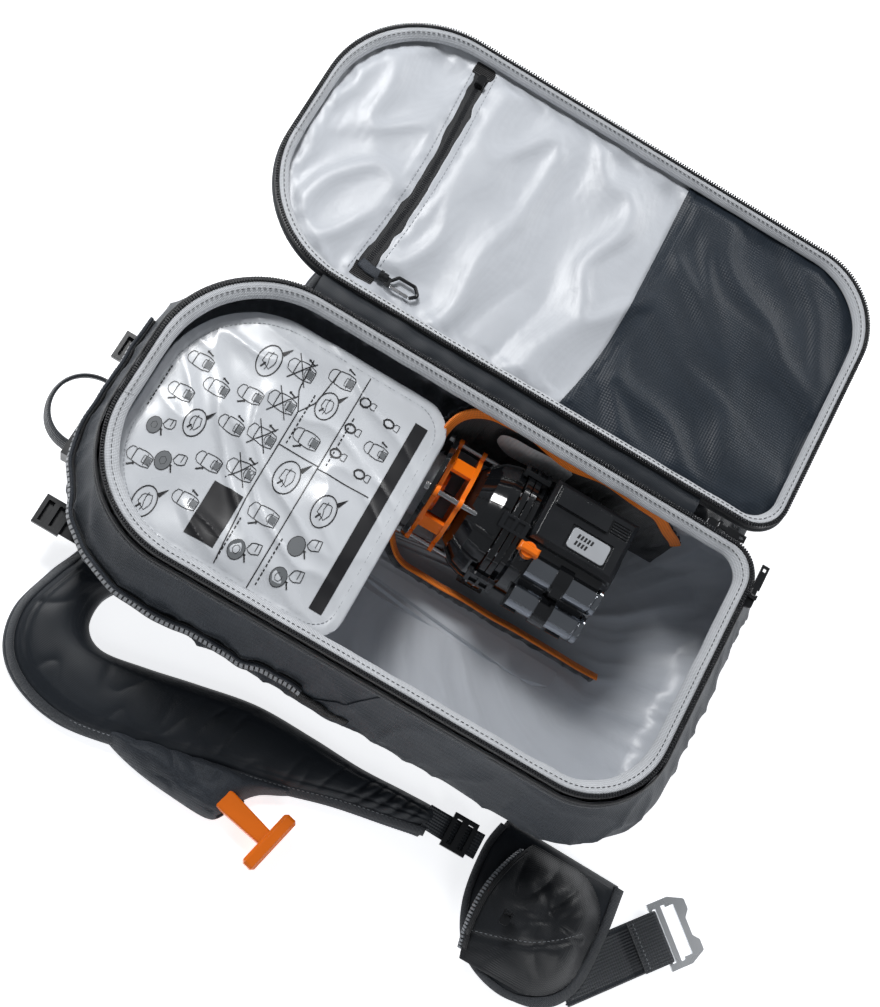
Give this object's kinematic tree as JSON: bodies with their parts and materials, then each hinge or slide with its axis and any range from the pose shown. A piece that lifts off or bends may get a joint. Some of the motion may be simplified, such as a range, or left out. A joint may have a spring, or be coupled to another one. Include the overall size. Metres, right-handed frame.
{
  "type": "avalanche airbag backpack",
  "caption": "Backpack lying on its back with its front panel open, showing a stowed airbag under a printed flap, an electric inflator, an orange release handle and a hip belt.",
  "frame": {"origin": "on the floor, at the middle of the back padding's resting face", "axes": "+X from the top of the pack to its hip belt, +Y to the side on which the front panel hinges, +Z from the wearer's back to the front panel"},
  "size_m": [0.7402, 0.7138, 0.168],
  "materials": {
    "pad_mesh": "woven spacer mesh",
    "shell_fabric": "matt woven",
    "frame_plastic": "matt",
    "lining_fabric": "satin woven",
    "zip_tape": "zip tape and coil",
    "airbag_fabric": "folded coated ripstop",
    "sleeve_fabric": "matt",
    "orange_binding": "ribbed tape",
    "black_gloss": "gloss",
    "black_satin": "satin",
    "steel": "bright",
    "bright_metal": "bright drawn",
    "board_green": "satin",
    "label_silver": "satin",
    "orange_plastic": "satin",
    "black_rubber": "matt",
    "flap_fabric": "coated, glossy, printed",
    "pocket_fabric": "fine stretch weave",
    "black_metal": "gloss",
    "webbing": "ribbed webbing",
    "strap_fabric": "foam with twill binding",
    "buckle_plastic": "satin",
    "fin_fabric": "matt woven",
    "buckle_aluminium": "satin"
  },
  "bodies": {
    "pack_body": {"back_pad": "pad_mesh", "lumbar_pad": "pad_mesh", "main_shell": "shell_fabric", "back_frame": "frame_plastic", "inner_lining": "lining_fabric", "main_zip_lower": "zip_tape", "burst_zip": "zip_tape", "airbag_bundle": "airbag_fabric", "air_duct": "airbag_fabric", "inflator_sleeve": "sleeve_fabric", "sleeve_binding": "orange_binding", "duct_collar": "black_gloss", "guide_rods": "steel", "valve_cage": "orange_plastic", "intake_bell": "black_gloss", "ring_latches": "black_satin", "ring_screws": "steel", "clamp_rings": "black_gloss", "motor_housing": "black_gloss", "supercapacitors": "bright_metal", "control_cover": "black_satin", "circuit_board": "board_green", "backup_cells": "bright_metal", "status_window": "label_silver", "fan_motor": "steel", "hinge_fold": "zip_tape", "top_webbing": "webbing"},
    "valve": {"valve_plate": "orange_plastic"},
    "fan_rotor": {"fan_impeller": "black_satin"},
    "power_switch": {"power_knob": "orange_plastic"},
    "port_cap": {"charge_cap": "black_rubber"},
    "guide_flap": {"airbag_flap": "flap_fabric"},
    "front_panel": {"panel_shell": "shell_fabric", "main_zip_upper": "zip_tape", "panel_lining": "lining_fabric", "panel_pocket": "pocket_fabric", "pocket_zip_tape": "zip_tape", "key_hook": "black_metal"},
    "pocket_slider": {"pocket_zip_slider": "black_metal"},
    "key_gate": {"hook_gate": "black_metal"},
    "slider_hinge_side": {"zip_slider_hinge_side": "black_metal"},
    "pull_hinge_side": {"zip_pull_hinge_side": "black_metal"},
    "slider_bottom": {"zip_slider_bottom": "black_metal"},
    "pull_bottom": {"zip_pull_bottom": "black_metal"},
    "carry_loop": {"haul_loop": "webbing"},
    "strap_near": {"shoulder_strap_near": "strap_fabric", "strap_ladder_lock_near": "buckle_plastic", "handle_pouch": "strap_fabric"},
    "strap_far": {"shoulder_strap_far": "strap_fabric", "strap_ladder_lock_far": "buckle_plastic"},
    "release_handle": {"trigger_handle": "orange_plastic"},
    "hip_fin_near": {"fin_pad_near": "strap_fabric", "fin_pocket_near": "fin_fabric", "hip_webbing_near": "webbing"},
    "hip_fin_far": {"fin_pad_far": "strap_fabric", "fin_pocket_far": "fin_fabric", "hip_webbing_far": "webbing"},
    "fin_slider": {"fin_zip_slider_near": "black_metal"},
    "loop_half": {"loop_buckle_near": "buckle_aluminium"},
    "hook_half": {"hook_buckle_far": "buckle_aluminium"}
  },
  "joints": [
    {"name": "front_panel_hinge", "type": "hinge", "parent": "pack_body", "child": "front_panel", "pos_m": [0, 0.141, 0.169], "axis": [1, 0, 0], "range_deg": [0, 180]},
    {"name": "guide_flap_hinge", "type": "hinge", "parent": "pack_body", "child": "guide_flap", "pos_m": [-0.246, 0, 0.13875], "axis": [0, 1, 0], "range_deg": [-40, 0]},
    {"name": "valve_slide", "type": "slide", "parent": "pack_body", "child": "valve", "axis": [1, 0, 0], "range_m": [0, 0.008], "stiffness_N_per_m": 150},
    {"name": "fan_spin", "type": "hinge", "parent": "pack_body", "child": "fan_rotor", "pos_m": [0.057, 0.06, 0.092], "axis": [1, 0, 0], "continuous": true},
    {"name": "power_switch_turn", "type": "hinge", "parent": "pack_body", "child": "power_switch", "pos_m": [0.0882, 0.036, 0.145], "axis": [0, 0, 1], "range_deg": [0, 90]},
    {"name": "port_cap_hinge", "type": "hinge", "parent": "pack_body", "child": "port_cap", "pos_m": [0.1684, 0.06, 0.101], "axis": [0, -1, 0], "range_deg": [0, 110]},
    {"name": "pocket_slider_run", "type": "slide", "parent": "front_panel", "child": "pocket_slider", "axis": [0, -1, 0], "range_m": [0, 0.18]},
    {"name": "key_gate_hinge", "type": "hinge", "parent": "front_panel", "child": "key_gate", "pos_m": [-0.125, 0.1741, 0.1564], "axis": [0, 0, 1], "range_deg": [0, 22], "stiffness_Nm_per_rad": 0.02},
    {"name": "slider_hinge_side_run", "type": "slide", "parent": "pack_body", "child": "slider_hinge_side", "axis": [1, 0, 0], "range_m": [0, 0.014]},
    {"name": "pull_hinge_side_swing", "type": "hinge", "parent": "slider_hinge_side", "child": "pull_hinge_side", "pos_m": [0.22, 0.1366, 0.166], "axis": [0, -1, 0], "range_deg": [0, 150]},
    {"name": "slider_bottom_run", "type": "slide", "parent": "pack_body", "child": "slider_bottom", "axis": [0, -1, 0], "range_m": [0, 0.14]},
    {"name": "pull_bottom_swing", "type": "hinge", "parent": "slider_bottom", "child": "pull_bottom", "pos_m": [0.2726, 0.096, 0.166], "axis": [1, 0, 0], "range_deg": [0, 150]},
    {"name": "carry_loop_swing", "type": "hinge", "parent": "pack_body", "child": "carry_loop", "pos_m": [-0.292, -0.036, 0.078], "axis": [0, 1, 0], "range_deg": [0, 22]},
    {"name": "strap_near_swing", "type": "hinge", "parent": "pack_body", "child": "strap_near", "pos_m": [-0.02, -0.15, 0.014], "axis": [1, 0, 0], "range_deg": [-50, 90]},
    {"name": "strap_far_swing", "type": "hinge", "parent": "pack_body", "child": "strap_far", "pos_m": [-0.02, 0.15, 0.014], "axis": [-1, 0, 0], "range_deg": [-50, 90]},
    {"name": "release_handle_pull", "type": "slide", "parent": "strap_near", "child": "release_handle", "axis": [0.9703, -0.2419, 0], "range_m": [0, 0.04]},
    {"name": "hip_fin_near_swing", "type": "hinge", "parent": "pack_body", "child": "hip_fin_near", "pos_m": [0.262, -0.141, 0.014], "axis": [1, 0, 0], "range_deg": [-18, 90]},
    {"name": "hip_fin_far_swing", "type": "hinge", "parent": "pack_body", "child": "hip_fin_far", "pos_m": [0.262, 0.141, 0.014], "axis": [-1, 0, 0], "range_deg": [-18, 90]},
    {"name": "fin_slider_run", "type": "slide", "parent": "hip_fin_near", "child": "fin_slider", "axis": [0, 1, 0], "range_m": [0, 0.036]},
    {"name": "loop_half_swing", "type": "hinge", "parent": "hip_fin_near", "child": "loop_half", "pos_m": [0.37485, -0.16578, 0.0047], "axis": [0.766, -0.6428, 0], "range_deg": [-60, 90]},
    {"name": "hook_half_swing", "type": "hinge", "parent": "hip_fin_far", "child": "hook_half", "pos_m": [0.204, 0.31582, 0.0047], "axis": [0.866, 0.5, 0], "range_deg": [-60, 90]}
  ]
}
